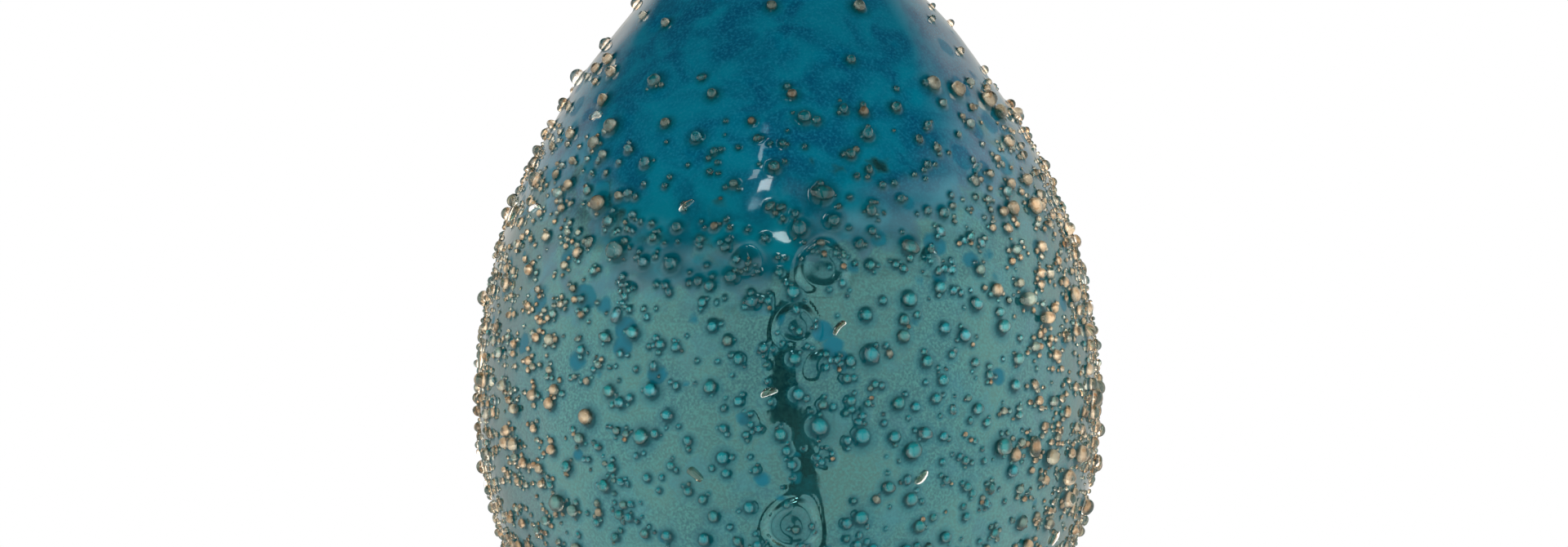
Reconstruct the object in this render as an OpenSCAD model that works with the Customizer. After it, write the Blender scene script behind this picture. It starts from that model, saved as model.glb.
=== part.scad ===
// Beaded bottle vase: a blown clear core under a skin of teal glass, with glass beads fused all over it.
// Millimetres, +Z up. The origin is on the table, under the middle of the foot. Azimuth 0 is the front (-Y).

/* [Vase] */
// Height from the table to the top of the lip
total_h = 296; // [288:1:310]
// Greatest radius of the body, without its beads
belly_r = 98; // [95:0.5:101]
// Height of the greatest radius above the table
belly_z = 105; // [102:1:108]
// Height at which the shoulder turns into the neck
collar_z = 236; // [233:1:239]
// Radius of the body where the shoulder turns into the neck
collar_r = 40; // [38:0.5:42]
// Outer radius of the straight neck
neck_r = 20; // [18:0.5:22]
// Height at which the straight neck begins
neck_z = 268; // [264:1:270]
// Outer radius of the rolled lip
lip_r = 26; // [24:0.5:28]
// Thickness of the rolled lip
lip_t = 7; // [6:0.5:8]

/* [Foot] */
// Outer radius of the flat ring that the vase rests on
rest_r = 50; // [48:1:52]
// Width of that ring
rest_w = 6; // [4:1:8]
// Height of the hollow under the foot, at its middle
punt_h = 3; // [2:0.5:4]
// Thickness of glass between the table and the cavity, at the middle
floor_t = 14; // [12:1:18]

/* [Glass] */
// Thickness of the whole wall, core and skin together
wall_t = 4.5; // [4:0.25:5.5]
// Thickness of the teal skin
skin_t = 1; // [0.8:0.1:1.2]

/* [Beads] */
// Least radius of a small bead
small_r = 1.1; // [1:0.05:1.2]
// Least radius of a medium bead
medium_r = 1.5; // [1.4:0.05:1.6]
// Least radius of a large bead
large_r = 2.1; // [2:0.1:2.4]
// How much a bead's radius varies, as a share of the least radius
size_spread = 0.3; // [0:0.05:0.3]
// Height of a bead's centre above the glass, as a share of its radius
bead_lift = 0.4; // [0.2:0.05:0.6]
// Height of a melted drop, as a share of its radius
drop_rise = 0.22; // [0.15:0.01:0.3]
// Radius of a shard of glass rod
shard_r = 0.9; // [0.8:0.05:1]
// Length of a shard between its round ends
shard_len = 4; // [3:0.5:4.5]
// Seed of the beads' scatter
scatter_seed = 7; // [1:1:20]

/* [Hidden] */
$fn = 48;

// Zones of the surface, from the table up: lowest and highest bead, and the number of bead sites.
BASE = [14, 50, 240];
LOWER = [50, 88, 330];
BELLY = [88, 126, 330];
UPPER = [126, 166, 330];
SHOULDER = [166, 206, 250];
COLLAR = [206, 232, 44];
ZONES = [BASE, LOWER, BELLY, UPPER, SHOULDER, COLLAR];

// What a site holds, by a draw between 0 and 1: where the kind starts and ends, and its least radius.
SMALL = [0, 0.5, small_r];
MEDIUM = [0.5, 0.86, medium_r];
LARGE = [0.86, 0.96, large_r];
SHARD = [0.96, 1, shard_len / 2 + shard_r];
KINDS = [SMALL, MEDIUM, LARGE, SHARD];

// Drops that sank into the skin, placed by eye: azimuth in degrees, height, radius.
DROPS = [
    [7, 144, 7.5], [-7, 147, 4.5], [2, 127, 6.5], [6, 115, 5], [0, 68, 8], [-7, 99, 3.5],
    [13, 101, 3.5], [7, 88, 3.5], [28, 146, 4.5], [-30, 138, 3.5], [95, 120, 6], [130, 84, 5],
    [170, 140, 7], [185, 108, 5.5], [-150, 70, 6], [-110, 130, 5.5], [-85, 90, 4.5],
];

GOLDEN_ANGLE = 137.508; // degrees from one site to the next, which spreads them evenly
CURVE_STEPS = 16;       // straight pieces in each curve of the profile
DROP_FN = 200;          // segments of a drop's ball, because only a small cap of it is left
lower_h = 126;          // height of the ellipse under the belly, which the foot cuts short
edge_z = 5;             // height at which the wall's curve ends and the foot's edge begins
shoulder_pull = 67.5;   // length of the shoulder curve's handle at the belly
collar_pull = 20;       // length of the handles at the collar
collar_slope = 0.85;    // change of radius with height at the collar
neck_pull = 16;         // length of the neck curve's handle at the neck
lip_under = -60;        // angle at which the lip's round side leaves the neck
cavity_power = 2.6;     // how square the cavity's lower half is: 2 is an ellipse
slope_step = 1.5;       // height over which the surface's slope is measured
stray_max = 5.5;        // how far a bead may lie from its even place
bead_gap = 0.3;         // least gap between two beads
look_back = 150;        // sites before each one that may be near it
front_width = 42;       // azimuth to each side within which the shoulder's front carries fewer beads
front_z = 168;          // height above which it does
front_share = 0.45;     // share of the sites that are kept there
bore_r = neck_r - wall_t;
lip_z = total_h - lip_t / 2;

function bezier(p, t) = pow(1 - t, 3) * p[0] + 3 * pow(1 - t, 2) * t * p[1]
    + 3 * (1 - t) * t * t * p[2] + pow(t, 3) * p[3];

// The body's outside, from the foot's edge up to the lip's underside, as [radius, height] points.
edge_angle = asin((belly_z - edge_z) / lower_h);
lower_curve = [for (i = [0 : CURVE_STEPS - 1])
    let (a = edge_angle * (1 - i / CURVE_STEPS))
    [belly_r * cos(a), belly_z - lower_h * sin(a)]];
shoulder_ends = [
    [belly_r, belly_z], [belly_r, belly_z + shoulder_pull],
    [collar_r + collar_slope * collar_pull, collar_z - collar_pull], [collar_r, collar_z],
];
shoulder_curve = [for (i = [0 : CURVE_STEPS - 1]) bezier(shoulder_ends, i / CURVE_STEPS)];
neck_ends = [
    [collar_r, collar_z], [collar_r - collar_slope * collar_pull / 2, collar_z + collar_pull / 2],
    [neck_r, neck_z - neck_pull], [neck_r, neck_z],
];
neck_curve = [for (i = [0 : CURVE_STEPS / 2]) bezier(neck_ends, 2 * i / CURVE_STEPS)];
outside = concat(lower_curve, shoulder_curve, neck_curve, [[neck_r, lip_z]]);
last = len(outside) - 1;

// The outside moved inwards by d, square to the surface.
function along(i) = outside[min(i + 1, last)] - outside[max(i - 1, 0)];
function inset(i, d) = i >= last - 1
    ? [outside[i][0] - d, outside[i][1]]
    : outside[i] + d * [-along(i)[1], along(i)[0]] / norm(along(i));
core_outside = [for (i = [0 : last]) inset(i, skin_t)];

// The inside, from the bore down to the middle of the cavity's floor.
upper_inside = [for (i = [last - 1 : -1 : CURVE_STEPS + 1]) inset(i, wall_t)];
cavity_r = belly_r - wall_t;
cavity_h = belly_z - floor_t;
lower_inside = [for (i = [0 : CURVE_STEPS])
    let (s = sin(90 * i / CURVE_STEPS))
    [cavity_r * pow(1 - pow(s, cavity_power), 1 / cavity_power), belly_z - cavity_h * s]];

// The lip's round side, from under it to its top, and the round edge from there into the bore.
lip_side = [for (a = [lip_under : 15 : 90])
    [lip_r - lip_t / 2 + lip_t / 2 * cos(a), lip_z + lip_t / 2 * sin(a)]];
lip_inside = [for (a = [0 : 30 : 90])
    [bore_r + lip_t / 2 * (1 - sin(a)), total_h - lip_t / 2 * (1 - cos(a))]];

// The hollow under the foot, and the foot's round edge.
punt_r = rest_r - rest_w;
punt_curve = [for (i = [0 : CURVE_STEPS / 2])
    let (s = 2 * i / CURVE_STEPS)
    [punt_r * s, punt_h * (1 - s * s)]];
edge_curve = [for (i = [0 : CURVE_STEPS / 2 - 1])
    let (a = 180 * i / CURVE_STEPS)
    [rest_r + (core_outside[0][0] - rest_r) * sin(a), core_outside[0][1] * (1 - cos(a))]];

// The skin's radius at a height, and how far its surface leans in there.
outside_radii = [for (p = outside) [p[1], p[0]]];
function radius_at(z) = lookup(z, outside_radii);
function lean_at(z) = atan2(radius_at(z - slope_step / 2) - radius_at(z + slope_step / 2), slope_step);
function on_surface(azimuth, z) = [radius_at(z) * sin(azimuth), -radius_at(z) * cos(azimuth), z];

// Every site, from the table up, as [zone, kind, radius it fills, azimuth, height, point, turn, draw].
// A site lies on a golden-angle spiral, and strays from it by a random step.
function kind_of(draw) = [for (kind = KINDS) if (draw >= kind[0] && draw < kind[1]) kind][0];
sites = [
    for (zone = ZONES)
        let (draws = rands(0, 1, 5 * zone[2], scatter_seed + zone[0]))
            for (i = [0 : zone[2] - 1])
                let (
                    kind = kind_of(draws[5 * i]),
                    fills = kind == SHARD ? SHARD[2] : kind[2] * (1 + size_spread * draws[5 * i + 1]),
                    even_z = zone[0] + (zone[1] - zone[0]) * (i + 0.5) / zone[2],
                    step = stray_max * sqrt(draws[5 * i + 2]),
                    turn = 360 * draws[5 * i + 3],
                    z = even_z + step * sin(turn) * cos(lean_at(even_z)),
                    azimuth = GOLDEN_ANGLE * i + step * cos(turn) / radius_at(z) * 180 / PI
                )
                    [zone, kind, fills, azimuth, z, on_surface(azimuth, z), turn, draws[5 * i + 4]]
];

// A site keeps its bead where the sites before it and the melted drops leave room,
// and only some of the sites on the front of the shoulder do.
function crowded(n) = len([
    for (m = [max(n - look_back, 0) : 1 : n - 1])
        if (norm(sites[n][5] - sites[m][5]) < sites[n][2] + sites[m][2] + bead_gap) m]) > 0;
function on_drop(site) = len([
    for (d = DROPS)
        if (norm(site[5] - on_surface(d[0], d[1])) < site[2] + d[2] + bead_gap) d]) > 0;
function bared(site) = site[4] > front_z && cos(site[3]) > cos(front_width) && site[7] > front_share;
kept = [for (n = [0 : len(sites) - 1])
    if (!crowded(n) && !on_drop(sites[n]) && !bared(sites[n])) sites[n]];

module on_skin(azimuth, z) {
    rotate([0, 0, azimuth - 90])
        translate([radius_at(z), 0, z])
            rotate([0, 90 - lean_at(z), 0])
                children();
}

// Part of a ball standing on the plane z = 0, with its centre at the height lift.
module cut_ball(r, lift) {
    difference() {
        translate([0, 0, lift]) sphere(r);
        translate([0, 0, -2 * r]) cube(4 * r, center = true);
    }
}

// A short rod with round ends, sunk to the depth sunk under the plane z = 0.
module cut_rod(r, length, sunk) {
    difference() {
        translate([0, 0, r - sunk]) {
            rotate([0, 90, 0]) cylinder(r = r, h = length, center = true);
            for (side = [-1, 1])
                translate([side * length / 2, 0, 0]) sphere(r);
        }
        translate([0, 0, -length]) cube(2 * length, center = true);
    }
}

module beads(zone, kind) {
    color("tan")
        for (site = kept)
            if (site[0] == zone && site[1] == kind)
                on_skin(site[3], site[4]) cut_ball(site[2], bead_lift * site[2]);
}

module clear_core() {
    color("lightcyan")
        rotate_extrude()
            polygon(concat(
                punt_curve, edge_curve, core_outside, lip_side, lip_inside, upper_inside, lower_inside));
}

module teal_overlay() {
    color("teal")
        rotate_extrude()
            polygon(concat(outside, [for (i = [last : -1 : 0]) core_outside[i]]));
}

module melted_drops() {
    color("darkcyan")
        for (d = DROPS)
            let (ball_r = d[2] * (1 / drop_rise + drop_rise) / 2)
                on_skin(d[0], d[1]) cut_ball(ball_r, drop_rise * d[2] - ball_r, $fn = DROP_FN);
}

module glass_shards() {
    color("burlywood")
        for (site = kept)
            if (site[1] == SHARD)
                on_skin(site[3], site[4]) rotate(site[6]) cut_rod(shard_r, shard_len, shard_r / 2);
}

clear_core();
teal_overlay();
melted_drops();
glass_shards();
beads(BASE, SMALL);  // base_small_beads
beads(BASE, MEDIUM);  // base_medium_beads
beads(BASE, LARGE);  // base_large_beads
beads(LOWER, SMALL);  // lower_small_beads
beads(LOWER, MEDIUM);  // lower_medium_beads
beads(LOWER, LARGE);  // lower_large_beads
beads(BELLY, SMALL);  // belly_small_beads
beads(BELLY, MEDIUM);  // belly_medium_beads
beads(BELLY, LARGE);  // belly_large_beads
beads(UPPER, SMALL);  // upper_small_beads
beads(UPPER, MEDIUM);  // upper_medium_beads
beads(UPPER, LARGE);  // upper_large_beads
beads(SHOULDER, SMALL);  // shoulder_small_beads
beads(SHOULDER, MEDIUM);  // shoulder_medium_beads
beads(SHOULDER, LARGE);  // shoulder_large_beads
beads(COLLAR, SMALL);  // collar_small_beads
beads(COLLAR, MEDIUM);  // collar_medium_beads
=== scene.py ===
"""Looks for the beaded bottle vase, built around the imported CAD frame.

Metres, in the row's frame: +Z up, the foot's ring on z = 0, the front towards -Y.
The skin, the core and every bead are rebuilt as smooth meshes where the CAD solids are.
A place on the skin is given by its azimuth, from the front towards +X, and by s, the length
along the outline from the foot to it.
"""
import math

import bmesh
import bpy
import numpy as np
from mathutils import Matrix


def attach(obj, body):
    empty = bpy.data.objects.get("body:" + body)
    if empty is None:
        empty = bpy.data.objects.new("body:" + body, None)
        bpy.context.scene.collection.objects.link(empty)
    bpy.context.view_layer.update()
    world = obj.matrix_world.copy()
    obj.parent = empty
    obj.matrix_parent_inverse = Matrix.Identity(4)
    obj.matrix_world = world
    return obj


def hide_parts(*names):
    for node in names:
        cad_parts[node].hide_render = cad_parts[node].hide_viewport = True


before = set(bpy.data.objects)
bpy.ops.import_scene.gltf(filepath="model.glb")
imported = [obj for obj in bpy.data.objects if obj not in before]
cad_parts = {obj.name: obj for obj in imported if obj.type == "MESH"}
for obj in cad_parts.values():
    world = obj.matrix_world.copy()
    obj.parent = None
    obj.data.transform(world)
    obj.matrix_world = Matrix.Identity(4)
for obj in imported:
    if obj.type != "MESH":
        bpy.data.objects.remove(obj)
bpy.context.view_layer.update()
dice = np.random.default_rng(11)

MM = 0.001
SMOOTH_STEPS = 24          # points on the smooth outline for each point of the CAD outline
OUTWARD = 0.1              # least part of an outer surface's normal that points off the axis


# ---- what the CAD says ----

def node_points(node):
    """The vertices of a CAD node and their normals, as two arrays."""
    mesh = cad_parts[node].data
    points, normals = np.empty(3 * len(mesh.vertices)), np.empty(3 * len(mesh.vertices))
    mesh.vertices.foreach_get("co", points)
    mesh.vertex_normals.foreach_get("vector", normals)
    return points.reshape(-1, 3), normals.reshape(-1, 3)


def edge_ends(node):
    """The numbers of the two vertices at the ends of each edge of a CAD node."""
    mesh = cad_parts[node].data
    ends = np.empty(2 * len(mesh.edges), int)
    mesh.edges.foreach_get("vertices", ends)
    return ends.reshape(-1, 2)


def outer_outline(node):
    """Radius and height of each ring of a turned node's outer surface, from the bottom up."""
    points, normals = node_points(node)
    radius = np.hypot(points[:, 0], points[:, 1])
    outward = (points[:, :2] * normals[:, :2]).sum(1) > OUTWARD * radius
    level = points[outward, 2].round(5)
    return np.array([[radius[outward][level == h].max(), h] for h in np.unique(level)])


def separate_solids(node):
    """The vertices of each separate solid in a CAD node, as a list of arrays."""
    points, _ = node_points(node)
    welded, index = np.unique(points.round(6), axis=0, return_inverse=True)
    a, b = index.ravel()[edge_ends(node)].T
    label = np.arange(len(welded))
    while True:
        lowest = np.minimum(label[a], label[b])
        spread = label.copy()
        np.minimum.at(spread, a, lowest)
        np.minimum.at(spread, b, lowest)
        spread = spread[spread]
        if (spread == label).all():
            break
        label = spread
    order = np.argsort(label, kind="stable")
    cuts = np.flatnonzero(np.diff(label[order])) + 1
    return [welded[part] for part in np.split(order, cuts)]


def ball_through(points):
    """Centre and radius of the ball whose surface the points lie on."""
    rows = np.c_[2 * points, np.ones(len(points))]
    answer = np.linalg.lstsq(rows, (points ** 2).sum(1), rcond=None)[0]
    return answer[:3], math.sqrt(answer[3] + answer[:3] @ answer[:3])


def between(t, p, q, slope_p, slope_q):
    """Points of a cubic curve from p, at t = 0, to q, at t = 1, with the slopes of its two ends."""
    return ((2 * t ** 3 - 3 * t ** 2 + 1) * p + (t ** 3 - 2 * t ** 2 + t) * slope_p
            + (3 * t ** 2 - 2 * t ** 3) * q + (t ** 3 - t ** 2) * slope_q)


class Outline:
    """A smooth curve through an outline's points, measured by its length s from the bottom."""

    def __init__(self, points):
        before = np.r_[2 * points[:1] - points[1:2], points[:-1]]
        after = np.r_[points[1:], 2 * points[-1:] - points[-2:-1]]
        slope = (after - before) / 2
        t = np.linspace(0, 1, SMOOTH_STEPS, endpoint=False)[:, None]
        curve = [between(t, *points[i:i + 2], *slope[i:i + 2]) for i in range(len(points) - 1)]
        self.curve = np.r_[np.concatenate(curve), points[-1:]]
        steps = np.linalg.norm(np.diff(self.curve, axis=0), axis=1)
        self.s = np.r_[0, np.cumsum(steps)]
        self.length = self.s[-1]
        ahead = np.gradient(self.curve, self.s, axis=0)
        self.ahead = ahead / np.linalg.norm(ahead, axis=1)[:, None]

    def at(self, s):
        """Radius, height, and the outward normal's two parts at a length s."""
        r, z = (np.interp(s, self.s, self.curve[:, k]) for k in (0, 1))
        ahead_r, ahead_z = (np.interp(s, self.s, self.ahead[:, k]) for k in (0, 1))
        return r, z, ahead_z, -ahead_r

    def nearest(self, r, z):
        """The length s of the curve's point nearest to (r, z)."""
        gap = (self.curve[:, 0] - r) ** 2 + (self.curve[:, 1] - z) ** 2
        return self.s[np.argmin(gap)]


outline = Outline(outer_outline("teal_overlay"))


# ---- the skin's surface: the outline turned round the axis, with ripples and melted drops ----

EVEN_ENDS = (20 * MM, 50 * MM)   # lengths over which the ripples fade out at the foot and the lip
DROP_RISE = 0.2                  # height of a melted drop, as a share of its radius
DROP_GROOVE = 0.035              # depth of the groove round a drop, as a share of its radius
DROP_UNEVEN = 0.09               # how far a drop's outline wanders from a circle, likewise
LEAST_CRATER = 5.8 * MM          # a drop wider than this sank in the middle, and has a raised rim
RIM_SHARE, BOTTOM_SHARE = 0.9, 0.25    # heights of that rim and of the middle, in drop heights
DROP_WAVES = (2.2, 3.1)          # steepness, in radians a radius, of two waves in a drop's outline
WAVE_START = 900                 # radians by which a metre of a drop's x moves the first of them

# Where a drop's parts are, in radii from its middle: the middle and width of the rim and of the
# groove, and the limits of the slopes of a crater's bottom and of a plain dome.
RIM, GROOVE = (0.74, 0.19), (1.05, 0.14)
BOTTOM_EDGE, DOME_EDGE = (0, 0.6), (0.25, 1)


def random_waves(count, shortest, longest, slope):
    """Directions, starts and heights of sine waves, each as steep as slope."""
    lengths = dice.uniform(shortest, longest, count)
    ways = dice.normal(size=(count, 3))
    ways *= (2 * math.pi / lengths / np.linalg.norm(ways, axis=1))[:, None]
    return ways, dice.uniform(0, 2 * math.pi, count), slope * lengths / (2 * math.pi)


SWELLS = random_waves(30, 20 * MM, 60 * MM, 0.0095)
DIMPLES = random_waves(30, 7 * MM, 14 * MM, 0.0035)


def smoothstep(low, high, value):
    """0 at low, 1 at high, and a smooth change between them."""
    t = np.clip((value - low) / (high - low), 0, 1)
    return t * t * (3 - 2 * t)


def falling(edge, value):
    """1 below an edge, 0 above it, and a smooth change over it."""
    return 1 - smoothstep(*edge, value)


def ridge(t, middle, width):
    """A rounded ridge, 1 high, along t = middle."""
    return np.exp(-((t - middle) / width) ** 2)


def site_of(point):
    """Azimuth and length s of the place on the outline's surface nearest to a point."""
    x, y, z = point
    return math.atan2(x, -y), outline.nearest(math.hypot(x, y), z)


def bare_surface(azimuth, s):
    """Points and outward normals of the smooth surface."""
    r, z, out, up = outline.at(s)
    across, away = np.sin(azimuth), -np.cos(azimuth)
    return np.stack([r * across, r * away, z], -1), np.stack([out * across, out * away, up], -1)


drops = []
for solid in separate_solids("melted_drops"):
    azimuth, s = site_of(solid.mean(0))
    middle, _ = bare_surface(azimuth, s)
    drops.append((middle, np.linalg.norm(solid - middle, axis=1).max()))


def drop_distance(points, middle, radius):
    """Distance from a drop's middle, as a share of its radius, with an uneven outline."""
    off = (points - middle) / radius
    way = middle / np.linalg.norm(middle)
    # Each drop's two waves run across it in ways that depend on its place, so no two are alike.
    first = np.sin(off @ (DROP_WAVES[0] * way[[1, 2, 0]]) + WAVE_START * middle[0])
    second = np.sin(off @ (DROP_WAVES[1] * way[[2, 0, 1]]))
    return np.linalg.norm(off, axis=-1) * (1 + DROP_UNEVEN * (first + second))


def relief(points, s):
    """How far the rippled, drop-covered surface stands out from the smooth one."""
    height = np.zeros(points.shape[:-1])
    for ways, starts, heights in (SWELLS, DIMPLES):
        height += np.sin(points @ ways.T + starts) @ heights
    height *= smoothstep(0, EVEN_ENDS[0], s) * smoothstep(0, EVEN_ENDS[1], outline.length - s)
    for middle, radius in drops:
        t = drop_distance(points, middle, radius)
        if radius > LEAST_CRATER:
            dome = RIM_SHARE * ridge(t, *RIM) + BOTTOM_SHARE * falling(BOTTOM_EDGE, t)
        else:
            dome = falling(DOME_EDGE, t)
        height += radius * (DROP_RISE * dome - DROP_GROOVE * ridge(t, *GROOVE))
    return height


def surface(azimuth, s, lift=0.0):
    """Points of the finished surface, raised by lift, and the smooth surface's normals."""
    points, normals = bare_surface(azimuth, s)
    return points + normals * (relief(points, s) + lift)[..., None], normals


# ---- mesh making ----

def make_piece(name, points, faces, material, body="root"):
    """A smooth-shaded piece from arrays of points and faces, riding on a body."""
    mesh = bpy.data.meshes.new(name)
    corners = faces.shape[1]
    mesh.vertices.add(len(points))
    mesh.vertices.foreach_set("co", points.astype(np.float32).ravel())
    mesh.loops.add(faces.size)
    mesh.loops.foreach_set("vertex_index", faces.ravel().astype(np.int32))
    mesh.polygons.add(len(faces))
    mesh.polygons.foreach_set("loop_start", np.arange(0, faces.size, corners, dtype=np.int32))
    mesh.update(calc_edges=True)
    mesh.validate()
    shade_smooth(mesh)
    mesh.materials.append(material)
    piece = bpy.data.objects.new(name, mesh)
    bpy.context.scene.collection.objects.link(piece)
    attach(piece, body)
    return piece


def shade_smooth(mesh):
    mesh.polygons.foreach_set("use_smooth", np.full(len(mesh.polygons), True))


def store(piece, name, values):
    """Keeps one number for each of a piece's points, for its material to read."""
    attribute = piece.data.attributes.new(name, "FLOAT", "POINT")
    attribute.data.foreach_set("value", values.astype(np.float32).ravel())


def grid_faces(rows, columns):
    """Quads of a grid of points that closes on itself both ways."""
    row, column = np.meshgrid(np.arange(rows), np.arange(columns), indexing="ij")
    next_row, next_column = (row + 1) % rows, (column + 1) % columns
    corners = [row * columns + column, row * columns + next_column,
               next_row * columns + next_column, next_row * columns + column]
    return np.stack(corners, -1).reshape(-1, 4)


def ball_template(subdivisions):
    """Points and triangles of an even ball of radius 1."""
    mesh = bmesh.new()
    bmesh.ops.create_icosphere(mesh, subdivisions=subdivisions, radius=1)
    points = np.array([v.co for v in mesh.verts])
    faces = np.array([[v.index for v in f.verts] for f in mesh.faces])
    mesh.free()
    return points, faces


def copied_faces(faces, points_in_one, count):
    """The triangles of count copies of a template, whose points follow one another."""
    steps = np.arange(count)[:, None, None] * points_in_one
    return (faces[None] + steps).reshape(-1, 3)


FINE_BALL, BALL, ROUGH_BALL = ball_template(4), ball_template(3), ball_template(2)


# ---- materials ----

class Nodes:
    """Builds a node tree: each call adds one node and returns one of its outputs."""

    def __init__(self, tree):
        self.tree = tree
        tree.nodes.clear()

    def add(self, kind, inputs, output=0, **settings):
        node = self.tree.nodes.new(kind)
        for key, value in settings.items():
            setattr(node, key, value)
        for key, value in inputs.items():
            if isinstance(value, bpy.types.NodeSocket):
                self.tree.links.new(value, node.inputs[key])
            else:
                node.inputs[key].default_value = value
        return node.outputs[output]

    def split(self, vector):
        """The three outputs of a vector's parts."""
        node = self.tree.nodes.new("ShaderNodeSeparateXYZ")
        self.tree.links.new(vector, node.inputs[0])
        return node.outputs

    def math(self, operation, a, b=0.0):
        return self.add("ShaderNodeMath", {0: a, 1: b}, operation=operation)

    def plus(self, a, b):
        return self.math("ADD", a, b)

    def minus(self, a, b):
        return self.math("SUBTRACT", a, b)

    def times(self, a, b):
        return self.math("MULTIPLY", a, b)

    def most(self, a, b):
        return self.math("MAXIMUM", a, b)

    def distance(self, a, b):
        """How far the numbers a and b are apart."""
        return self.math("ABSOLUTE", self.minus(a, b))

    def fade(self, value, low, high, start=0.0, end=1.0):
        """start below low, end above high, and a smooth change between them."""
        limits = {"From Min": low, "From Max": high, "To Min": start, "To Max": end}
        return self.add("ShaderNodeMapRange", {"Value": value, **limits},
                        interpolation_type="SMOOTHSTEP")

    def mix(self, factor, a, b):
        """A colour between a, at factor 0, and b, at 1."""
        return self.add("ShaderNodeMix", {0: factor, 6: a, 7: b}, output=2, data_type="RGBA")

    def place(self):
        """Where a point of the surface is, in the object's own metres."""
        return self.add("ShaderNodeTexCoord", {}, output="Object")

    def attribute(self, name):
        """What store() kept under the name."""
        return self.add("ShaderNodeAttribute", {}, output="Fac", attribute_name=name)

    def noise(self, place, size, detail=2.0, distortion=0.0):
        """Smooth noise around 0.5 with features of about the size given, in metres."""
        settings = {"Vector": place, "Scale": 1 / size, "Detail": detail, "Distortion": distortion}
        return self.add("ShaderNodeTexNoise", settings)

    def bump(self, height, depth):
        """Faint bumps, of a depth in metres, as height says."""
        return self.add("ShaderNodeBump", {"Height": height, "Strength": 0.2, "Distance": depth})

    def finish(self, shader, target="ShaderNodeOutputMaterial"):
        end = self.tree.nodes.new(target)
        self.tree.links.new(shader, end.inputs["Surface"])


def new_material(name):
    material = bpy.data.materials.new(name)
    material.use_nodes = True
    return material, Nodes(material.node_tree)


# The skin is blue above and grey-green, with a metallic lustre, below. The heights between which
# one changes to the other, and how far the patterns and the sides move that change.
BLUE_EDGE = (140 * MM, 158 * MM)
CLOUD_SHIFT = 100 * MM           # by broad clouds, from the lowest to the highest
PATCH_SHIFT = 70 * MM            # by smaller patches, likewise
FLANK_RISE = 34 * MM             # up, at the two sides of the vase
LEFT_FALL = 16 * MM              # down, on the left of the vase
LEFT = (-75 * MM, -10 * MM)      # the x over which the left turns into the rest
TURQUOISE_EDGE = (145 * MM, 185 * MM)  # heights over which plain glass turns from green to blue

# Blue spots on the grey-green glass.
SPOT_CELL = 12 * MM              # how far apart they are where nothing thins them out
SPOT_EDGE = (0.20, 0.36)         # distances from a spot's middle, in cells, over which it ends
SPOT_HEIGHTS = (90 * MM, 130 * MM)     # heights over which they become more frequent
SPOT_LIMITS = (0.61, 0.36)       # least noise that has spots, below and above those heights
SPOT_START = (-0.035, 0.005)     # noise beyond that least one over which the spots appear
SPOT_GROWTH = 0.5                # how much larger, in cells, further noise makes them
SPOT_WAVER = 0.2                 # how uneven their edges are, in cells

# The skin's surface, from lustred glass to plain glass where there are two numbers.
WORN_EDGE = (0.47, 0.70)         # noise over which the lustre wears off in patches
MOST_WORN = 0.4                  # how far it wears off
METALLIC = (0.7, 0.06)
ROUGHNESS = (0.05, 0.13)         # least and most, in patches
GLOSS = (1.0, 0.05)              # weight of the clear gloss: in general, and on spots, on the painted shadow rings round beads and on the darker drop patches
PIT_SHARE = 0.03                 # height of the fine pits, as a share of the broad waves
AMBER_EDGE = (0.4, 0.9)          # tints over which the painted pool of light under a bead turns from clear to amber

# Colours of the skin. A noise mixes the first two of LUSTRED, BLUE and GREEN, and a third is the
# colour of the grain.
# A bead's tint mixes the two colours of the painted shadow ring round it, and the blue above mixes
# the pairs of colours of the painted pool of light under it.
LUSTRED = ((0.005, 0.110, 0.130, 1), (0.036, 0.155, 0.150, 1), (0.034, 0.200, 0.200, 1))
BLUE = ((0.0, 0.105, 0.215, 1), (0.0, 0.235, 0.360, 1), (0.010, 0.260, 0.410, 1))
GREEN = ((0.0, 0.125, 0.180, 1), (0.0, 0.215, 0.290, 1))
SPOT = (0.0, 0.180, 0.265, 1)
# Painted shadow round a bead: under a clear bead, and under an amber one.
SHADOW_RING = ((0.0, 0.072, 0.092, 1), (0.016, 0.062, 0.066, 1))
# Painted pool of light under a bead, below and above the blue edge: for a clear bead, and for an
# amber one.
CLEAR_LIGHT_POOL = ((0.004, 0.340, 0.400, 1), (0.002, 0.150, 0.190, 1))
AMBER_LIGHT_POOL = ((0.60, 0.52, 0.40, 1), (0.20, 0.21, 0.18, 1))


def skin_wash(n, place):
    """A height moved by clouds and by the sides, and how far a place is in the blue above."""
    x, y, height = n.split(place)
    x_squared, y_squared = n.times(x, x), n.times(y, y)
    flank = n.math("DIVIDE", x_squared, n.plus(x_squared, y_squared))
    clouds = n.minus(n.noise(place, 38 * MM, detail=5, distortion=0.6), 0.5)
    wavy = n.plus(height, n.times(clouds, CLOUD_SHIFT))
    wavy = n.minus(wavy, n.times(flank, FLANK_RISE))
    wavy = n.plus(wavy, n.fade(x, *LEFT, start=LEFT_FALL, end=0.0))
    patches = n.minus(n.noise(place, 10 * MM, detail=2, distortion=0.4), 0.5)
    return wavy, n.fade(n.plus(wavy, n.times(patches, PATCH_SHIFT)), *BLUE_EDGE)


def skin_spots(n, place, wavy):
    """Round spots with wavering edges, in groups, and more of them higher up."""
    cells = {"Vector": place, "Scale": 1 / SPOT_CELL}
    away = n.add("ShaderNodeTexVoronoi", cells, output="Distance")
    away = n.plus(away, n.times(n.noise(place, 4 * MM), SPOT_WAVER))
    dense = n.minus(n.noise(place, 24 * MM, detail=0), n.fade(wavy, *SPOT_HEIGHTS, *SPOT_LIMITS))
    spots = n.fade(n.minus(away, n.times(dense, SPOT_GROWTH)), *SPOT_EDGE, start=1.0, end=0.0)
    return n.times(spots, n.fade(dense, *SPOT_START))


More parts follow.
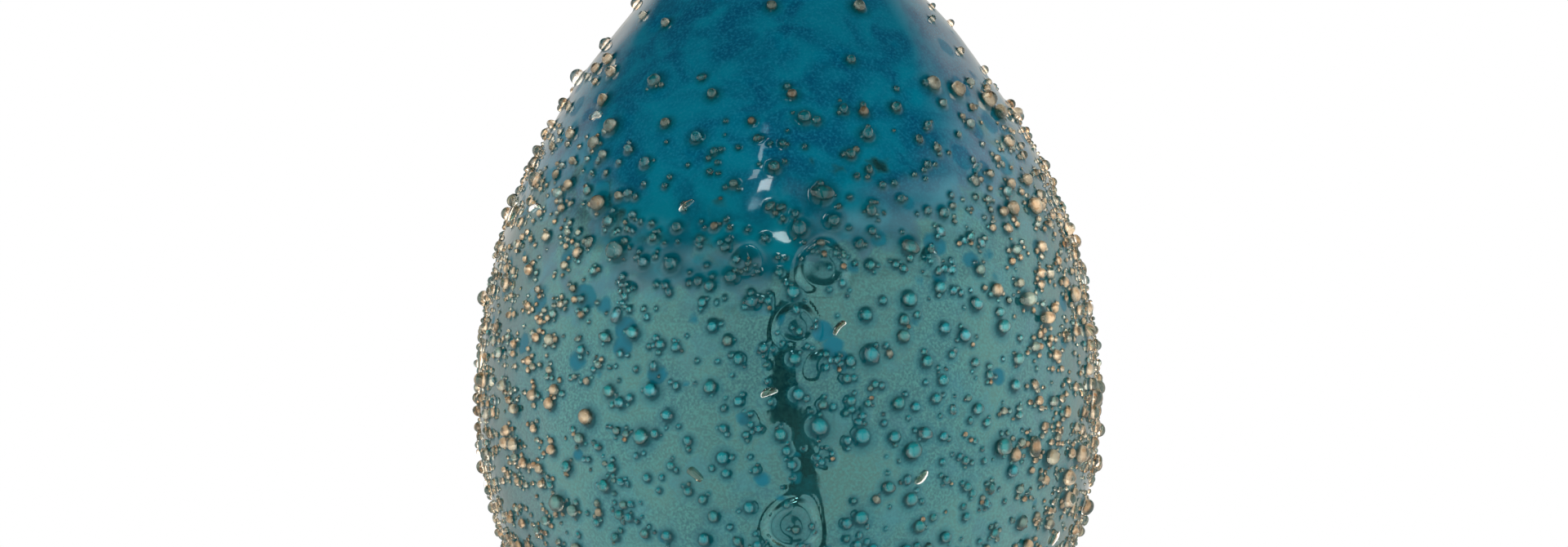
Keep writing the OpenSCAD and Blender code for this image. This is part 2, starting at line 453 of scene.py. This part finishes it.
def skin_colours(n, place, upper, spots, shadow_rings_and_drops, light_pool, gold):
    """The colours of the lustred glass and of the plain glass, which has a painted shadow ring
    round each bead and a painted pool of light under it.
    """
    grain = n.noise(place, 0.8 * MM, detail=3)
    dust = n.fade(n.noise(place, 26 * MM, detail=6, distortion=0.5), 0.38, 0.66)
    mottle = n.fade(n.noise(place, 14 * MM, detail=4, distortion=0.8), 0.32, 0.68)
    lustred = n.mix(dust, LUSTRED[0], LUSTRED[1])
    lustred = n.mix(n.fade(grain, 0.35, 0.68), lustred, LUSTRED[2])
    blue = n.mix(mottle, BLUE[0], BLUE[1])
    blue = n.mix(n.fade(grain, 0.42, 0.72, end=0.65), blue, BLUE[2])
    height = n.split(place)[2]
    plain = n.mix(n.fade(height, *TURQUOISE_EDGE), n.mix(mottle, *GREEN), blue)
    plain = n.mix(n.times(spots, n.minus(1.0, upper)), plain, SPOT)
    # The painted shadow ring round each bead, and the darker drop patches.
    plain = n.mix(shadow_rings_and_drops, plain, n.mix(gold, *SHADOW_RING))
    # The painted pool of light under each bead.
    clear_pool_light, amber_pool_light = n.mix(upper, *CLEAR_LIGHT_POOL), n.mix(upper, *AMBER_LIGHT_POOL)
    under = n.mix(n.fade(gold, *AMBER_EDGE), clear_pool_light, amber_pool_light)
    return lustred, n.mix(light_pool, plain, under)


def skin_material():
    """Teal glass: plain blue above, grey-green and lustred below, under a clear gloss.

    The lustre is missing from the spots, from worn patches, from a painted shadow ring round each
    bead and from a darker patch on each melted drop, and the gloss is dull on the spots, the
    painted shadow rings and the drop patches. Under each bead the colour is a painted pool of
    light.
    """
    material, n = new_material("teal_glass_skin")
    place = n.place()
    wavy, upper = skin_wash(n, place)
    spots = skin_spots(n, place, wavy)
    # Stored on the skin: the painted shadow rings with the darker drop patches, the painted pools
    # of light under the beads, and the beads' tints.
    shadow_rings_and_drops, light_pool, gold = n.attribute("shadow_rings_and_drops"), n.attribute("light_pool"), n.attribute("gold")
    matt = n.most(spots, shadow_rings_and_drops)
    worn = n.fade(n.noise(place, 11 * MM, detail=4), *WORN_EDGE, end=MOST_WORN)
    plain = n.most(n.most(upper, matt), worn)
    lustred_colour, plain_colour = skin_colours(n, place, upper, spots, shadow_rings_and_drops, light_pool, gold)
    waves = n.noise(place, 7 * MM, detail=2)
    pits = n.noise(place, 0.9 * MM, detail=1)
    bump = n.bump(n.plus(waves, n.times(pits, PIT_SHARE)), 0.3 * MM)
    n.finish(n.add("ShaderNodeBsdfPrincipled", {
        "Base Color": n.mix(plain, lustred_colour, plain_colour),
        "Metallic": n.fade(plain, 0.0, 1.0, *METALLIC),
        "Roughness": n.fade(n.noise(place, 9 * MM, detail=3), 0.3, 0.7, *ROUGHNESS),
        "Specular IOR Level": 0.2,
        "Coat Weight": n.fade(matt, 0.0, 1.0, *GLOSS),
        "Coat Roughness": 0.02,
        "Coat IOR": 1.5,
        "Normal": bump,
        "Coat Normal": bump,
    }))
    return material


def glass_material(name, colour_a, colour_b, attribute=None, patches=None):
    """Clear glass between two tints, with faint ripples.

    A stored attribute, or else a noise, says how far the tint is from a to b. Where it is near
    b, the glass has patches of a third tint, if one is given.
    """
    material, n = new_material(name)
    place = n.place()
    share = n.attribute(attribute) if attribute else n.noise(place, 30 * MM)
    colour = n.mix(share, colour_a, colour_b)
    if patches:
        dark = n.fade(n.noise(place, 1.7 * MM, detail=1), 0.56, 0.64)
        colour = n.mix(n.times(dark, share), colour, patches)
    n.finish(n.add("ShaderNodeBsdfPrincipled", {
        "Base Color": colour,
        "Roughness": n.fade(n.noise(place, 2 * MM, detail=2), 0.35, 0.75, start=0.0, end=0.08),
        "Normal": n.bump(n.noise(place, 1.3 * MM), 0.15 * MM),
        "IOR": 1.5,
        "Transmission Weight": 1.0,
    }))
    return material


SKIN = skin_material()
CORE_GLASS = glass_material("clear_core_glass", (0.75, 0.93, 0.92, 1), (0.62, 0.88, 0.90, 1))
BEAD_GLASS = glass_material("bead_glass", (0.90, 0.99, 0.99, 1), (1.0, 0.82, 0.63, 1), "tint",
                            (0.62, 0.38, 0.22, 1))


# ---- beads ----

STRETCHES = (0.88, 1.12)         # least and most that a bead is stretched each way
FLATTER = [1, 1, 0.95]           # and then across, up the wall and out from it
LONG = [1.35, 0.85, 0.85]        # what a long bead is stretched by as well
LONG_SHARE = 0.22                # share of the beads that are long
DENTS = 0.07                     # depth of a bead's dents, as a share of its radius
DENT_TURNS = 1.6                 # how close together they are
BEAD_LIFT = 0.4                  # height of a bead's middle over the skin, in radii

# How amber the beads are, from 0 to 1: clear on the lower front, amber on the flanks and, in part,
# on the shoulder, and clearer again at the back. Azimuths count from the middle of the front.
FRONT_AMBER, FLANK_AMBER, BEHIND_CLEAR, SHOULDER_AMBER = 0.1, 0.8, 0.3, 0.4
FLANK_EDGE = (math.radians(22), math.radians(58))
BEHIND_EDGE = (math.radians(115), math.radians(165))
SHOULDER_EDGE = (125 * MM, 170 * MM)
TINT_SPREAD = 0.2                # how much the beads of one place differ
STRAY_AMBER = 0.04               # share of the beads that are amber wherever they lie


def around(azimuth):
    """The same azimuth between -180 and 180 degrees."""
    return (azimuth + math.pi) % (2 * math.pi) - math.pi


def site_frames(azimuth, s):
    """Middle of each site on the finished surface, and its axes: across, up the wall, out."""
    middle, out = surface(azimuth, s)
    across = np.stack([np.cos(azimuth), np.sin(azimuth), 0 * azimuth], -1)
    return middle, np.stack([across, np.cross(out, across), out], 1)


def amber_share(azimuth, s):
    """How amber the beads of a place are on average."""
    aside = np.abs(around(azimuth))
    flank = smoothstep(*FLANK_EDGE, aside)
    behind = smoothstep(*BEHIND_EDGE, aside)
    shoulder = smoothstep(*SHOULDER_EDGE, outline.at(s)[1])
    sides = FRONT_AMBER + FLANK_AMBER * flank - BEHIND_CLEAR * behind
    return np.maximum(sides, SHOULDER_AMBER * shoulder)


def with_tint(sites):
    """The table of sites with one more column: how amber each bead is, from 0 to 1."""
    tint = amber_share(sites[:, 0], sites[:, 1]) + dice.normal(0, TINT_SPREAD, len(sites))
    tint[dice.random(len(sites)) < STRAY_AMBER] = 1
    return np.c_[sites, np.clip(tint, 0, 1)]


def place_balls(name, sites, template):
    """One piece of irregular glass balls. sites is a table of azimuth, s, radius, lift and tint."""
    azimuth, s, radius, lift, tint = sites.T
    middle, axes = site_frames(azimuth, s)
    shape, faces = template
    count = len(azimuth)
    turn = dice.uniform(0, 2 * math.pi, count)
    stretch = dice.uniform(*STRETCHES, (count, 3)) * FLATTER
    stretch[dice.random(count) < LONG_SHARE] *= LONG
    dent_ways = dice.normal(size=(count, 3)) * DENT_TURNS
    waves = np.einsum("vk,nk->nv", shape, dent_ways) + dice.uniform(0, 6, (count, 1))
    dents = 1 + DENTS * np.sin(waves)
    local = shape[None] * stretch[:, None] * dents[..., None] * radius[:, None, None]
    c, w = np.cos(turn)[:, None], np.sin(turn)[:, None]
    local = np.stack([c * local[..., 0] - w * local[..., 1],
                      w * local[..., 0] + c * local[..., 1],
                      local[..., 2] + lift[:, None]], -1)
    points = middle[:, None] + np.einsum("nvk,nkx->nvx", local, axes)
    faces = copied_faces(faces, len(shape), count)
    piece = make_piece(name, points.reshape(-1, 3), faces, BEAD_GLASS)
    store(piece, "tint", np.repeat(tint, len(shape)))
    return piece


bead_sites = {}
for node in sorted(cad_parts):
    if node.endswith("_beads"):
        rows = []
        for solid in separate_solids(node):
            centre, radius = ball_through(solid)
            rows.append((*site_of(centre), radius, BEAD_LIFT * radius))
        bead_sites[node] = with_tint(np.array(rows))

for node, sites in bead_sites.items():
    template = FINE_BALL if "large" in node else BALL
    piece = place_balls(node.replace("_beads", "_bead_glass"), sites, template)
    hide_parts(node)


# ---- crumbs: grains too small for a CAD solid of their own, some of them against a bead ----

CRUMBS = 5200
CRUMB_RADII = (0.45 * MM, 1.2 * MM)
CRUMB_SPREAD = (1.3, 2.0)         # the two shapes of the beta curve that their radii follow
CRUMB_LIFTS = (0.1, 0.6)          # heights of their middles over the skin, in radii
CRUMB_REACH = (0.012, 0.222)      # the s of the first crumb and of the last
CRUMB_FADE = 0.7                  # share of the last s from which they thin out
BESIDE_BEAD = 0.4                 # share of the crumbs that lie against a bead
BESIDE_GAPS = (0.9, 1.3)          # how far off, as shares of the two radii together
LEAST_GAP = 0.85                  # least distance between two grains, likewise
FRONT_SHARES = (0.3, 0.5)         # share that stays on the middle of the front, below and above
FRONT_HEIGHTS = (0.12, 0.16)      # the s over which the one turns into the other
FRONT_SIDES = (0.35, 1.0)         # azimuths, in radians, over which the front ends
CELL = 4 * MM                     # cell of the grid that finds a crumb's neighbours
DROP_CRUMBS = (0.2, 0.75, 0.95, 1.05)  # distances of the crumbs on a drop from its middle, in radii
DROP_CRUMB_RADII = (0.7, 1.25)    # in mm
DROP_CRUMB_LIFT = 0.3 * MM
CRUMB_BANDS = {"lower_crumbs": (0, 0.09), "middle_crumbs": (0.09, 0.14), "upper_crumbs": (0.14, 1)}


def moved(azimuth, s, way, away):
    """The place at a distance away from another, in the direction way on the skin."""
    return azimuth + away * math.cos(way) / outline.at(s)[0], s + away * math.sin(way)


def crumbs_on_drops():
    """Sites for a crumb near the middle of each melted drop, and more near its rim."""
    found = []
    for middle, radius in drops:
        azimuth, s = site_of(middle)
        for away in DROP_CRUMBS:
            site = moved(azimuth, s, dice.uniform(0, 2 * math.pi), away * radius)
            found.append((*site, dice.uniform(*DROP_CRUMB_RADII) * MM, DROP_CRUMB_LIFT))
    return with_tint(np.array(found))


def scatter_crumbs(taken):
    """Sites for crumbs, clear of the sites taken and of each other."""
    cells = {}

    def cell_of(point):
        return tuple((point // CELL).astype(int))

    def fill(point, radius):
        cells.setdefault(cell_of(point), []).append((point, radius))

    def clear(point, radius):
        home = cell_of(point)
        for step in np.ndindex(3, 3, 3):
            for other, other_radius in cells.get(tuple(np.array(home) + step - 1), ()):
                if np.linalg.norm(point - other) < LEAST_GAP * (radius + other_radius):
                    return False
        return True

    points, _ = bare_surface(taken[:, 0], taken[:, 1])
    for point, radius in zip(points, taken[:, 2]):
        fill(point, radius)
    found = []
    while len(found) < CRUMBS:
        radius = CRUMB_RADII[0] + (CRUMB_RADII[1] - CRUMB_RADII[0]) * dice.beta(*CRUMB_SPREAD)
        if dice.random() < BESIDE_BEAD:
            azimuth, s, near_radius = taken[dice.integers(len(taken)), :3]
            way = dice.uniform(0, 2 * math.pi)
            away = (near_radius + radius) * dice.uniform(*BESIDE_GAPS)
            azimuth, s = moved(azimuth, s, way, away)
        else:
            azimuth, s = dice.uniform(-math.pi, math.pi), dice.uniform(*CRUMB_REACH)
        share = smoothstep(CRUMB_REACH[1], CRUMB_FADE * CRUMB_REACH[1], s)
        below, above = FRONT_SHARES
        front = below + (above - below) * smoothstep(*FRONT_HEIGHTS, s)
        share *= front + (1 - front) * smoothstep(*FRONT_SIDES, abs(azimuth))
        if dice.random() > share:
            continue
        point = bare_surface(np.array(azimuth), np.array(s))[0]
        if clear(point, radius):
            fill(point, radius)
            found.append((azimuth, s, radius, dice.uniform(*CRUMB_LIFTS) * radius))
    return with_tint(np.array(found))


bead_table = np.concatenate(list(bead_sites.values()))
drop_crumbs = crumbs_on_drops()
scattered = scatter_crumbs(np.concatenate([bead_table, drop_crumbs]))
crumb_sites = np.concatenate([drop_crumbs, scattered])
for name, (low, high) in CRUMB_BANDS.items():
    in_band = (crumb_sites[:, 1] >= low) & (crumb_sites[:, 1] < high)
    place_balls(name, crumb_sites[in_band], ROUGH_BALL)


# ---- shards: short bent lengths of glass rod ----

ROD_THICKER = (1.0, 1.35)        # a rod's radius, in radii of its CAD solid
ROD_LENGTH = 0.95                # its length, in lengths of its CAD solid
ROD_HEIGHT = 0.85                # its height over its width
ROD_BODY = 0.35                  # how far a ball's points move towards the rod's ends
ROD_WAIST = 0.18                 # how much its thickness varies along it
ROD_WAVES = (2, 4)               # how fast, in radians for half its length
ROD_BENDS = (-0.35, 0.35)        # how far its middle is bent aside, in radii
ROD_TINTS = (0.8, 1)


def build_shards():
    """Each CAD rod as a rod with round ends, bent, uneven and a little flat."""
    shape, faces = BALL
    points, tints = [], []
    t = shape[:, :1] + ROD_BODY * (shape[:, :1] - shape[:, :1] ** 3)
    blunt = (1 - np.abs(shape[:, :1]) ** 3) ** 0.5
    from_axis = np.linalg.norm(shape[:, 1:], axis=1, keepdims=True)
    ring = shape[:, 1:] / np.maximum(from_axis, 1e-6)
    for solid in separate_solids("glass_shards"):
        middle = (solid.max(0) + solid.min(0)) / 2
        spread = solid - solid.mean(0)
        along, across, out = np.linalg.svd(spread, full_matrices=False)[2]
        reach = np.abs(spread @ along).max()
        thick = np.abs(spread @ across).max() * dice.uniform(*ROD_THICKER)
        waist = 1 + ROD_WAIST * np.sin(dice.uniform(*ROD_WAVES) * t + dice.uniform(0, 6))
        bend = dice.uniform(*ROD_BENDS) * thick * (1 - 2 * t ** 2)
        girth = blunt * waist * thick
        side = ring[:, :1] * girth + bend
        rise = ring[:, 1:] * girth * ROD_HEIGHT
        points.append(middle + t * reach * ROD_LENGTH * along + side * across + rise * out)
        tints.append(np.full(len(shape), dice.uniform(*ROD_TINTS)))
    faces = copied_faces(faces, len(shape), len(points))
    piece = make_piece("glass_shard_rods", np.concatenate(points), faces, BEAD_GLASS)
    store(piece, "tint", np.concatenate(tints))
    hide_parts("glass_shards")


build_shards()


# ---- the clear core: its CAD profile turned round the axis more smoothly ----

CORE_COLUMNS = 240
CORE_STEPS = 6             # points on the smooth profile for each point of the CAD profile


def profile_of(node):
    """Radius and height of each corner of a turned node's profile, from one end on the axis
    to the other."""
    points, _ = node_points(node)
    corners = np.c_[np.hypot(points[:, 0], points[:, 1]), points[:, 2]].round(5)
    corners, index = np.unique(corners, axis=0, return_inverse=True)
    beside = [set() for _ in corners]
    for a, b in index.ravel()[edge_ends(node)]:
        if a != b:
            beside[a].add(b)
            beside[b].add(a)
    chain = [0]                # np.unique puts the lower end on the axis first
    while True:
        onward = [i for i in beside[chain[-1]] if i not in chain]
        if not onward:
            return corners[chain]
        near = np.linalg.norm(corners[onward] - corners[chain[-1]], axis=1)
        chain.append(onward[int(np.argmin(near))])


def rounded(profile):
    """A smooth curve through a profile's corners that doesn't swing out past them."""
    before, after = np.roll(profile, 1, 0), np.roll(profile, -1, 0)
    before[0], after[-1] = profile[0], profile[-1]
    t = np.arange(CORE_STEPS)[:, None] / CORE_STEPS
    curve = []
    for i in range(len(profile) - 1):
        p, q = profile[i], profile[i + 1]
        slopes = []
        for a, b in ((before[i], q), (p, after[i + 1])):
            way = (b - a) / max(np.linalg.norm(b - a), 1e-9)
            slopes.append(way * abs(way @ (q - p)))
        curve.append(between(t, p, q, *slopes))
    return np.maximum(np.concatenate([*curve, profile[-1:]]), 0)


def build_core():
    """The profile turned round the axis, with a fan of triangles at each end of it."""
    rows = rounded(profile_of("clear_core"))[1:-1]
    azimuth = np.linspace(0, 2 * math.pi, CORE_COLUMNS, endpoint=False)
    ring = np.stack([np.cos(azimuth), np.sin(azimuth)], -1)
    points = np.concatenate([np.c_[ring * r, np.full(CORE_COLUMNS, z)] for r, z in rows])
    faces = grid_faces(len(rows), CORE_COLUMNS)[:-CORE_COLUMNS]
    piece = make_piece("clear_core_glass", points, faces, CORE_GLASS)
    mesh = bmesh.new()
    mesh.from_mesh(piece.data)
    for z in (rows[0][1], rows[-1][1]):
        edges = [e for e in mesh.edges if e.is_boundary and abs(e.verts[0].co.z - z) < 1e-6]
        middle = mesh.verts.new((0, 0, z))
        for e in edges:
            mesh.faces.new((*e.verts, middle))
    bmesh.ops.recalc_face_normals(mesh, faces=mesh.faces)
    mesh.to_mesh(piece.data)
    mesh.free()
    shade_smooth(piece.data)
    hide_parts("clear_core")


build_core()


# ---- the skin ----

SKIN_COLUMNS = 880
SKIN_ROWS = 470
INSIDE_ROWS = 60
SKIN_THICKNESS = 1.0 * MM

# What a bead does to the skin round it: a fillet, a painted shadow ring and a painted pool of
# light. Distances from its middle are in radii of the bead.
SEAT_REACH = 3.0
FILLET_RISE = 0.3
FILLET_EDGE = (0.6, 1.7)
SHADOW_CORE_EDGE = (1.1, 1.6)           # of the painted shadow ring's dark core
SHADOW_TAIL_EDGE = (1.3, 2.9)           # of the paler rest of it
SHADOW_TAIL_SHARE = 0.5
LIGHT_POOL_EDGE = (0.3, 0.75)          # of the bright pool of light under the bead
TINT_REACH = 1.1
SHADOW_SHIFT = (0.25, 0.35)        # of the painted shadow ring: down the wall, and on the flanks towards the front
LIGHT_POOL_SHIFT = (0.1, 0.4)          # of the painted pool of light: up the wall, and on the flanks away from the front
DROP_EDGE = (0.6, 1.0)           # of the darker skin on a melted drop
DROP_SHARE = 0.45


def seat_fields(azimuths, lengths, sites):
    """Four numbers for each point of the skin's grid: how far the fillets round the beads lift it,
    how much it belongs to a bead's painted shadow ring of plain dark colour, how much it belongs to
    the painted pool of light under a bead, and the bead's tint."""
    lift, shadow_rings_and_drops, light_pool, gold = np.zeros((4, len(lengths), len(azimuths)))
    pitch = lengths[1] - lengths[0]
    for azimuth, s, radius, _, tint in sites:
        reach = SEAT_REACH * radius
        first_row = max(int((s - reach) / pitch), 0)
        last_row = min(int((s + reach) / pitch) + 2, len(lengths))
        rows = np.arange(first_row, last_row)
        across = around(azimuths - azimuth) * outline.at(s)[0]
        columns = np.flatnonzero(abs(across) < reach)
        up, over = (lengths[rows][:, None] - s) / radius, across[columns][None, :] / radius
        t = np.hypot(up, over)
        flank = math.sin(azimuth)
        # The painted shadow is moved down the wall and, on the flanks, towards the front, and the
        # painted pool of light the other way, as light from above and the sides would throw them.
        shade = np.hypot(up + SHADOW_SHIFT[0], over + SHADOW_SHIFT[1] * flank)
        pool = np.hypot(up - LIGHT_POOL_SHIFT[0], over - LIGHT_POOL_SHIFT[1] * flank)
        window = np.ix_(rows, columns)
        # The painted shadow ring: a dark core and a paler tail.
        ring = np.maximum(falling(SHADOW_CORE_EDGE, shade), SHADOW_TAIL_SHARE * falling(SHADOW_TAIL_EDGE, shade))
        lift[window] = np.maximum(lift[window], FILLET_RISE * radius * falling(FILLET_EDGE, t))
        shadow_rings_and_drops[window] = np.maximum(shadow_rings_and_drops[window], ring)
        light_pool[window] = np.maximum(light_pool[window], falling(LIGHT_POOL_EDGE, pool))
        gold[window] = np.where(t < TINT_REACH, tint, gold[window])
    return lift, shadow_rings_and_drops, light_pool, gold


def build_skin():
    """A closed shell: the rippled outside, and a smooth inside one skin's thickness in."""
    azimuths = np.linspace(-math.pi, math.pi, SKIN_COLUMNS, endpoint=False)
    lengths = np.linspace(0, outline.length, SKIN_ROWS)
    sites = np.concatenate([bead_table, crumb_sites])
    lift, shadow_rings_and_drops, light_pool, gold = seat_fields(azimuths, lengths, sites)
    s, azimuth = np.meshgrid(lengths, azimuths, indexing="ij")
    outside, _ = surface(azimuth, s, lift)
    # A darker, less lustred patch on each melted drop goes into the same field as the painted
    # shadow rings.
    for middle, radius in drops:
        on_drop = falling(DROP_EDGE, drop_distance(outside, middle, radius))
        shadow_rings_and_drops = np.maximum(shadow_rings_and_drops, DROP_SHARE * on_drop)
    lengths = np.linspace(outline.length, 0, INSIDE_ROWS)
    s, azimuth = np.meshgrid(lengths, azimuths, indexing="ij")
    inside, normals = bare_surface(azimuth, s)
    inside = inside - normals * SKIN_THICKNESS
    points = np.concatenate([outside, inside]).reshape(-1, 3)
    skin = make_piece("vase_skin", points, grid_faces(SKIN_ROWS + INSIDE_ROWS, SKIN_COLUMNS), SKIN)
    for name, values in (("shadow_rings_and_drops", shadow_rings_and_drops), ("light_pool", light_pool), ("gold", gold)):
        store(skin, name, np.concatenate([values, np.zeros_like(s)]))
    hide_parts("teal_overlay", "melted_drops")


build_skin()


# ---- studio: white behind, two large soft panels in front with a dark gap between them ----

# Directions are in degrees as the vase sees them: azimuth to the right of the camera, elevation up.
DEGREE = math.radians(1)
GAP_MIDDLE = 2
GAP_EDGE = (4.4, 5.8)            # from the gap's middle: where the panels begin
PANEL_RISE = (8, 80)             # from the gap's middle: where they grow from the first strength
PANEL_STRENGTHS = (1.05, 1.35)   # to the second
PANEL_FALL = (95, 150)           # and where they fall
BACK_SHARE = 0.4                 # to this share of it, behind the vase
LEFT_TOP, RIGHT_TOP = (20, 36), (22, 48)   # elevations over which each panel ends
AMBIENT = 0.03

# Small bright lights over the camera: degrees aside and up, half width, half height, strength.
STRIPS = [(-3, 44, 5, 3.5, 7), (-15, 56, 3, 7, 3)]

# What clear glass shows through itself: a brighter light behind, by y, and at the sides, by |x|,
# of the direction that a ray leaves in. Each is two limits and a strength.
THROUGH_BACK = (-0.1, 0.3, 1.6)
THROUGH_SIDES = (0.70, 0.86, 3.4)

FLOOR_RADIUS = 8
FLOOR_HEIGHT = -0.2 * MM
FLOOR_FADE = (0.2, 0.7)          # distances over which the floor turns white
CAMERA_PLACE = (-0.0008, -1.387, 0.143)
CAMERA_ROLL = math.radians(1.0)


def studio_light(n, x, y, z):
    """Strength of the light that comes from a direction."""
    azimuth = n.math("ARCTAN2", x, n.times(y, -1.0))
    elevation = n.math("ARCSINE", z)

    def fade(value, limits, start=0.0, end=1.0):
        low, high = limits
        return n.fade(value, low * DEGREE, high * DEGREE, start, end)

    off_gap = n.distance(azimuth, GAP_MIDDLE * DEGREE)
    right = fade(azimuth, (0, 10))
    left_part = n.times(fade(elevation, LEFT_TOP, 1.0, 0.0), n.minus(1.0, right))
    right_part = n.times(fade(elevation, RIGHT_TOP, 1.0, 0.0), right)
    panels = n.times(fade(off_gap, GAP_EDGE), n.plus(left_part, right_part))
    panels = n.times(panels, fade(off_gap, PANEL_RISE, *PANEL_STRENGTHS))
    panels = n.times(panels, fade(off_gap, PANEL_FALL, 1.0, BACK_SHARE))
    strength = n.plus(panels, AMBIENT)
    for aside, up, half_width, half_height, power in STRIPS:
        across = n.distance(azimuth, aside * DEGREE)
        upright = n.distance(elevation, up * DEGREE)
        strip = n.times(fade(across, (half_width - 1, half_width), power, 0.0),
                        fade(upright, (half_height - 1, half_height), 1.0, 0.0))
        strength = n.plus(strength, strip)
    low, high, power = THROUGH_BACK
    behind = n.fade(y, low, high, end=power)
    low, high, power = THROUGH_SIDES
    sides = n.fade(n.math("ABSOLUTE", x), low, high, end=power)
    through = n.add("ShaderNodeLightPath", {}, output="Is Transmission Ray")
    return n.plus(strength, n.times(through, n.plus(behind, sides)))


def studio_world():
    """The studio's light for everything but the camera, which sees plain white."""
    world = bpy.data.worlds.new("studio")
    world.use_nodes = True
    bpy.context.scene.world = world
    n = Nodes(world.node_tree)
    way = n.add("ShaderNodeTexCoord", {}, output="Generated")
    strength = studio_light(n, *n.split(way))
    soft = n.add("ShaderNodeBackground", {"Color": (1.0, 0.985, 0.93, 1), "Strength": strength})
    white = n.add("ShaderNodeBackground", {"Color": (1, 1, 1, 1), "Strength": 1.0})
    seen = n.add("ShaderNodeLightPath", {}, output="Is Camera Ray")
    n.finish(n.add("ShaderNodeMixShader", {0: seen, 1: soft, 2: white}), "ShaderNodeOutputWorld")


def studio_floor():
    """A pale floor that fades to the white behind it."""
    mesh = bmesh.new()
    bmesh.ops.create_circle(mesh, cap_ends=True, segments=96, radius=FLOOR_RADIUS)
    data = bpy.data.meshes.new("floor")
    mesh.to_mesh(data)
    mesh.free()
    floor = bpy.data.objects.new("floor", data)
    bpy.context.scene.collection.objects.link(floor)
    floor.location.z = FLOOR_HEIGHT
    material, n = new_material("pale_floor")
    away = n.add("ShaderNodeVectorMath", {0: n.place()}, output="Value", operation="LENGTH")
    matt = n.add("ShaderNodeBsdfDiffuse", {"Color": (0.86, 0.86, 0.85, 1)})
    glow = n.add("ShaderNodeEmission", {"Color": (1, 1, 1, 1), "Strength": 0.45})
    pale = n.add("ShaderNodeAddShader", {0: matt, 1: glow})
    white = n.add("ShaderNodeEmission", {"Color": (1, 1, 1, 1), "Strength": 1.0})
    n.finish(n.add("ShaderNodeMixShader", {0: n.fade(away, *FLOOR_FADE), 1: pale, 2: white}))
    data.materials.append(material)
    floor.visible_glossy = False


def camera():
    """Level, looking along +Y at the belly from the distance of a product photograph."""
    data = bpy.data.cameras.new("camera")
    data.lens = 100
    data.sensor_width = 36
    eye = bpy.data.objects.new("camera", data)
    bpy.context.scene.collection.objects.link(eye)
    eye.location = CAMERA_PLACE
    eye.rotation_euler = (math.radians(90), CAMERA_ROLL, 0)
    bpy.context.scene.camera = eye


studio_world()
studio_floor()
camera()
bpy.context.scene.view_settings.view_transform = "Standard"
